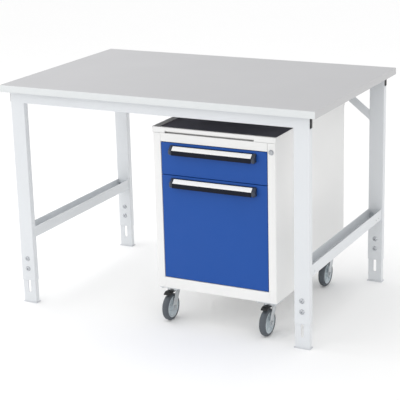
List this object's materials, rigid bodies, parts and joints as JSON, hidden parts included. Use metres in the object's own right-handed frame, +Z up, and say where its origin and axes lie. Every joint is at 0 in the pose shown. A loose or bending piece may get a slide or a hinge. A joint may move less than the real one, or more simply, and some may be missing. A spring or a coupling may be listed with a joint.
{
  "type": "workbench with drawers",
  "caption": "Height-adjustable workbench: laminated worktop on telescopic channel legs, with a mobile drawer pedestal on swivel casters parked underneath.",
  "frame": {"origin": "on the floor, under the centre of the worktop", "axes": "+X to the right of someone standing at the drawer fronts, along the worktop's long side; +Y towards the back; +Z up"},
  "size_m": [1.25, 0.8, 0.85],
  "materials": {
    "melamine_grey": "matt light grey melamine laminate on chipboard",
    "edge_abs": "light grey ABS edge strip",
    "frame_paint": "light grey powder coat",
    "cabinet_paint": "off-white powder coat",
    "front_paint": "blue powder coat",
    "inner_steel": "light grey powder coat",
    "zinc": "zinc plated steel",
    "black_plastic": "black moulded nylon",
    "grey_plastic": "dark grey moulded plastic",
    "label_white": "white plastic label strip",
    "mat_rubber": "ribbed dark rubber",
    "wheel_grey": "light grey polyamide",
    "tyre_rubber": "grey non-marking rubber",
    "chrome": "nickel plated lock"
  },
  "bodies": {
    "foot_channels": {"inserts_front": "frame_paint", "inserts_rear": "frame_paint", "foot_pads": "wheel_grey"},
    "bench_frame": {"top_board": "melamine_grey", "edge_band": "edge_abs", "top_screws": "zinc", "front_rail": "frame_paint", "rear_rail": "frame_paint", "rail_end_caps": "black_plastic", "legs_front": "frame_paint", "legs_rear": "frame_paint", "clamp_bolts": "zinc", "clamp_nuts": "zinc", "cross_rails": "frame_paint", "cross_rail_bolts": "zinc", "braces": "frame_paint"},
    "pedestal": {"ped_sides": "cabinet_paint", "ped_posts": "cabinet_paint", "ped_back": "cabinet_paint", "ped_base": "cabinet_paint", "ped_top": "cabinet_paint", "ped_tray": "cabinet_paint", "ped_mat": "mat_rubber", "slide_spacers": "zinc", "slide_outer": "zinc", "lock_bezel": "chrome", "caster_plates": "zinc"},
    "drawer_upper": {"drawer_upper_front": "front_paint", "drawer_upper_box": "inner_steel", "handle_upper": "grey_plastic", "handle_caps_upper": "grey_plastic", "label_upper": "label_white", "slide_inner_upper": "zinc"},
    "drawer_lower": {"drawer_lower_front": "front_paint", "drawer_lower_box": "inner_steel", "handle_lower": "grey_plastic", "handle_caps_lower": "grey_plastic", "label_lower": "label_white", "slide_inner_lower": "zinc"},
    "slides_upper": {"slide_middle_upper": "zinc"},
    "slides_lower": {"slide_middle_lower": "zinc"},
    "lock": {"lock_core": "chrome"},
    "caster_fl": {"caster_fork_fl": "zinc", "caster_axle_fl": "zinc"},
    "wheel_fl": {"caster_wheel_fl": "wheel_grey", "caster_tyre_fl": "tyre_rubber"},
    "pedal_fl": {"brake_pedal_fl": "black_plastic"},
    "caster_fr": {"caster_fork_fr": "zinc", "caster_axle_fr": "zinc"},
    "wheel_fr": {"caster_wheel_fr": "wheel_grey", "caster_tyre_fr": "tyre_rubber"},
    "pedal_fr": {"brake_pedal_fr": "black_plastic"},
    "caster_rl": {"caster_fork_rl": "zinc", "caster_axle_rl": "zinc"},
    "wheel_rl": {"caster_wheel_rl": "wheel_grey", "caster_tyre_rl": "tyre_rubber"},
    "caster_rr": {"caster_fork_rr": "zinc", "caster_axle_rr": "zinc"},
    "wheel_rr": {"caster_wheel_rr": "wheel_grey", "caster_tyre_rr": "tyre_rubber"}
  },
  "joints": [
    {"name": "height_adjust", "type": "slide", "parent": "foot_channels", "child": "bench_frame", "axis": [0, 0, 1], "range_m": [-0.05, 0.23]},
    {"name": "pedestal_roll", "type": "slide", "parent": "foot_channels", "child": "pedestal", "axis": [0, -1, 0], "range_m": [0, 0.9]},
    {"name": "drawer_upper_slide", "type": "slide", "parent": "pedestal", "child": "drawer_upper", "axis": [0, -1, 0], "range_m": [0, 0.5]},
    {"name": "drawer_lower_slide", "type": "slide", "parent": "pedestal", "child": "drawer_lower", "axis": [0, -1, 0], "range_m": [0, 0.5]},
    {"name": "slide_upper_middle", "type": "slide", "parent": "pedestal", "child": "slides_upper", "axis": [0, -1, 0], "range_m": [0, 0.25]},
    {"name": "slide_lower_middle", "type": "slide", "parent": "pedestal", "child": "slides_lower", "axis": [0, -1, 0], "range_m": [0, 0.25]},
    {"name": "lock_turn", "type": "hinge", "parent": "pedestal", "child": "lock", "pos_m": [0.432, -0.3235, 0.677], "axis": [0, -1, 0], "range_deg": [0, 90]},
    {"name": "swivel_fl", "type": "hinge", "parent": "pedestal", "child": "caster_fl", "pos_m": [0.0155, -0.2775, 0.115], "axis": [0, 0, 1], "continuous": true},
    {"name": "roll_fl", "type": "hinge", "parent": "caster_fl", "child": "wheel_fl", "pos_m": [0.0155, -0.3115, 0.05], "axis": [1, 0, 0], "continuous": true},
    {"name": "brake_fl", "type": "hinge", "parent": "caster_fl", "child": "pedal_fl", "pos_m": [0.0155, -0.2915, 0.107], "axis": [1, 0, 0], "range_deg": [0, 7]},
    {"name": "swivel_fr", "type": "hinge", "parent": "pedestal", "child": "caster_fr", "pos_m": [0.4045, -0.2775, 0.115], "axis": [0, 0, 1], "continuous": true},
    {"name": "roll_fr", "type": "hinge", "parent": "caster_fr", "child": "wheel_fr", "pos_m": [0.4045, -0.3115, 0.05], "axis": [1, 0, 0], "continuous": true},
    {"name": "brake_fr", "type": "hinge", "parent": "caster_fr", "child": "pedal_fr", "pos_m": [0.4045, -0.2915, 0.107], "axis": [1, 0, 0], "range_deg": [0, 7]},
    {"name": "swivel_rl", "type": "hinge", "parent": "pedestal", "child": "caster_rl", "pos_m": [0.0155, 0.2755, 0.115], "axis": [0, 0, 1], "continuous": true},
    {"name": "roll_rl", "type": "hinge", "parent": "caster_rl", "child": "wheel_rl", "pos_m": [0.0155, 0.2415, 0.05], "axis": [1, 0, 0], "continuous": true},
    {"name": "swivel_rr", "type": "hinge", "parent": "pedestal", "child": "caster_rr", "pos_m": [0.4045, 0.2755, 0.115], "axis": [0, 0, 1], "continuous": true},
    {"name": "roll_rr", "type": "hinge", "parent": "caster_rr", "child": "wheel_rr", "pos_m": [0.4045, 0.2415, 0.05], "axis": [1, 0, 0], "continuous": true}
  ],
  "couplings": [
    {"joint": "slide_upper_middle", "follows": "drawer_upper_slide", "ratio": 0.5},
    {"joint": "slide_lower_middle", "follows": "drawer_lower_slide", "ratio": 0.5}
  ]
}
